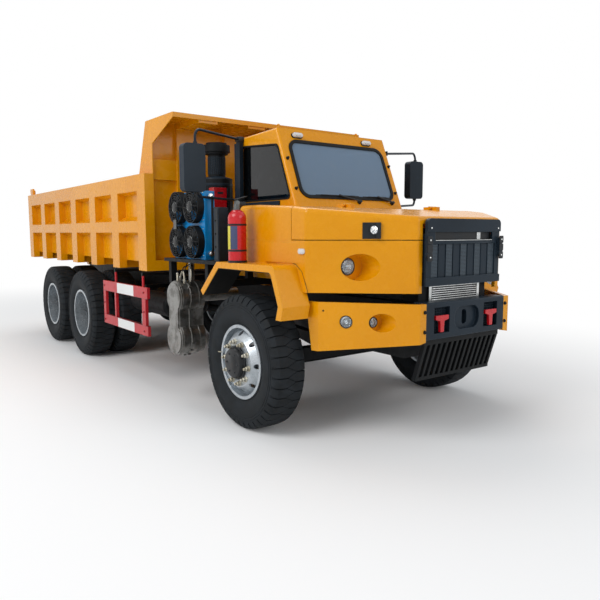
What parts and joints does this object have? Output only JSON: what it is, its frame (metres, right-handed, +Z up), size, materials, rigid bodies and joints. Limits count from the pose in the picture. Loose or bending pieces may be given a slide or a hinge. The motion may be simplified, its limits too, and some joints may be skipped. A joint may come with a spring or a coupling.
{
  "type": "mining dump truck",
  "caption": "Bonneted three-axle mining tipper with a ribbed steel body, canopy, tipping hoist and steered front wheels",
  "frame": {"origin": "on the ground, midway along the truck's length and on its centre line", "axes": "-Y forward, +Y rearward, +X the truck's left, +Z up"},
  "size_m": [2.834, 7.696, 2.68],
  "materials": {
    "yellow_paint": "semi-gloss",
    "black_paint": "satin",
    "red_paint": "gloss",
    "guard_red": "gloss",
    "blue_paint": "satin",
    "bare_steel": "satin",
    "chromed_rod": "polished",
    "engine_iron": "painted, matte",
    "muffler_steel": "dull, heat stained",
    "radiator_aluminium": "matte",
    "black_plastic": "grained",
    "seat_fabric": "woven",
    "lamp_lens": "clear",
    "tyre_rubber": "matte",
    "tinted_glass": "clear"
  },
  "bodies": {
    "knuckle_right": {"knuckle_right": "black_paint"},
    "knuckle_left": {"knuckle_left": "black_paint"},
    "tie_rod": {"tie_rod": "black_paint"},
    "wheel_front_right": {"tyre_front_right": "tyre_rubber", "rim_front_right": "bare_steel"},
    "wheel_front_left": {"tyre_front_left": "tyre_rubber", "rim_front_left": "bare_steel"},
    "wheels_middle_right": {"tyres_middle_right": "tyre_rubber", "rims_middle_right": "bare_steel"},
    "wheels_middle_left": {"tyres_middle_left": "tyre_rubber", "rims_middle_left": "bare_steel"},
    "wheels_rear_right": {"tyres_rear_right": "tyre_rubber", "rims_rear_right": "bare_steel"},
    "wheels_rear_left": {"tyres_rear_left": "tyre_rubber", "rims_rear_left": "bare_steel"},
    "dump_body": {"dump_body": "yellow_paint"},
    "tailgate": {"tailgate": "yellow_paint"},
    "hoist_barrel": {"hoist_barrel": "black_paint"},
    "hoist_rod": {"hoist_rod": "chromed_rod"},
    "bonnet": {"bonnet": "yellow_paint"},
    "door_left": {"door_left": "yellow_paint", "door_glass": "tinted_glass"},
    "fan_1": {"fan_1": "black_plastic"},
    "fan_2": {"fan_2": "black_plastic"},
    "fan_3": {"fan_3": "black_plastic"},
    "fan_4": {"fan_4": "black_plastic"},
    "chassis": {"air_cleaner": "black_paint", "air_tanks": "black_paint", "bumper_centre": "black_paint", "bumper_corners": "yellow_paint", "cab_fittings": "black_plastic", "cab_glass": "tinted_glass", "cab_shell": "yellow_paint", "chassis_frame": "black_paint", "control_box": "black_paint", "cowl": "yellow_paint", "drive_axles": "black_paint", "engine_block": "engine_iron", "extinguisher": "red_paint", "fan_guards": "black_paint", "front_axle": "black_paint", "front_lamps": "lamp_lens", "fuel_tank": "black_paint", "grille": "black_paint", "leaf_springs": "black_paint", "mirrors": "black_plastic", "muffler": "muffler_steel", "oil_cooler": "blue_paint", "propshafts": "black_paint", "radiator": "radiator_aluminium", "seat": "seat_fabric", "side_decks": "black_paint", "side_frames": "black_paint", "side_guards": "guard_red", "skid_guard": "black_paint", "sub_frame": "black_paint", "tool_box": "red_paint", "tow_hooks": "red_paint", "wing_left": "yellow_paint", "wing_right": "yellow_paint"}
  },
  "joints": [
    {"name": "steer_right", "type": "hinge", "parent": "chassis", "child": "knuckle_right", "pos_m": [-0.88, -2.57, 0.5425], "axis": [0, 0, 1], "range_deg": [-32, 32]},
    {"name": "steer_left", "type": "hinge", "parent": "chassis", "child": "knuckle_left", "pos_m": [0.88, -2.57, 0.5425], "axis": [0, 0, 1], "range_deg": [-32, 32]},
    {"name": "tie_rod_pivot", "type": "hinge", "parent": "knuckle_right", "child": "tie_rod", "pos_m": [-0.88, -2.35, 0.412], "axis": [0, 0, 1], "range_deg": [-32, 32]},
    {"name": "wheel_front_right_spin", "type": "hinge", "parent": "knuckle_right", "child": "wheel_front_right", "pos_m": [-1.075, -2.57, 0.5425], "axis": [1, 0, 0], "continuous": true},
    {"name": "wheel_front_left_spin", "type": "hinge", "parent": "knuckle_left", "child": "wheel_front_left", "pos_m": [1.075, -2.57, 0.5425], "axis": [1, 0, 0], "continuous": true},
    {"name": "wheels_middle_right_spin", "type": "hinge", "parent": "chassis", "child": "wheels_middle_right", "pos_m": [-0.9715, 1.22, 0.5425], "axis": [1, 0, 0], "continuous": true},
    {"name": "wheels_middle_left_spin", "type": "hinge", "parent": "chassis", "child": "wheels_middle_left", "pos_m": [0.9715, 1.22, 0.5425], "axis": [1, 0, 0], "continuous": true},
    {"name": "wheels_rear_right_spin", "type": "hinge", "parent": "chassis", "child": "wheels_rear_right", "pos_m": [-0.9715, 2.52, 0.5425], "axis": [1, 0, 0], "continuous": true},
    {"name": "wheels_rear_left_spin", "type": "hinge", "parent": "chassis", "child": "wheels_rear_left", "pos_m": [0.9715, 2.52, 0.5425], "axis": [1, 0, 0], "continuous": true},
    {"name": "bed_tip", "type": "hinge", "parent": "chassis", "child": "dump_body", "pos_m": [0, 3.38, 1.12], "axis": [-1, 0, 0], "range_deg": [0, 50]},
    {"name": "tailgate_swing", "type": "hinge", "parent": "dump_body", "child": "tailgate", "pos_m": [0, 3.808, 2.225], "axis": [1, 0, 0], "range_deg": [0, 70]},
    {"name": "hoist_swing", "type": "hinge", "parent": "chassis", "child": "hoist_barrel", "pos_m": [0, -1.22, 0.88], "axis": [1, 0, 0], "range_deg": [0, 29]},
    {"name": "hoist_extend", "type": "slide", "parent": "hoist_barrel", "child": "hoist_rod", "axis": [0, 0.995, 0.0995], "range_m": [0, 1.47]},
    {"name": "bonnet_lift", "type": "hinge", "parent": "chassis", "child": "bonnet", "pos_m": [0, -3.053, 1.781], "axis": [-1, 0, 0], "range_deg": [0, 55]},
    {"name": "door_left_swing", "type": "hinge", "parent": "chassis", "child": "door_left", "pos_m": [0.656, -2.302, 1.8], "axis": [0, 0, -1], "range_deg": [0, 60]},
    {"name": "fan_1_spin", "type": "hinge", "parent": "chassis", "child": "fan_1", "pos_m": [-1.147, -1.72, 1.487], "axis": [1, 0, 0], "continuous": true},
    {"name": "fan_2_spin", "type": "hinge", "parent": "chassis", "child": "fan_2", "pos_m": [-1.147, -1.42, 1.487], "axis": [1, 0, 0], "continuous": true},
    {"name": "fan_3_spin", "type": "hinge", "parent": "chassis", "child": "fan_3", "pos_m": [-1.147, -1.72, 1.8], "axis": [1, 0, 0], "continuous": true},
    {"name": "fan_4_spin", "type": "hinge", "parent": "chassis", "child": "fan_4", "pos_m": [-1.147, -1.42, 1.8], "axis": [1, 0, 0], "continuous": true}
  ],
  "couplings": [
    {"joint": "steer_left", "follows": "steer_right", "ratio": 1},
    {"joint": "tie_rod_pivot", "follows": "steer_right", "ratio": -1},
    {"joint": "hoist_swing", "follows": "bed_tip", "ratio": 0.5694},
    {"joint": "hoist_extend", "follows": "bed_tip", "m_per_rad": 1.68}
  ]
}
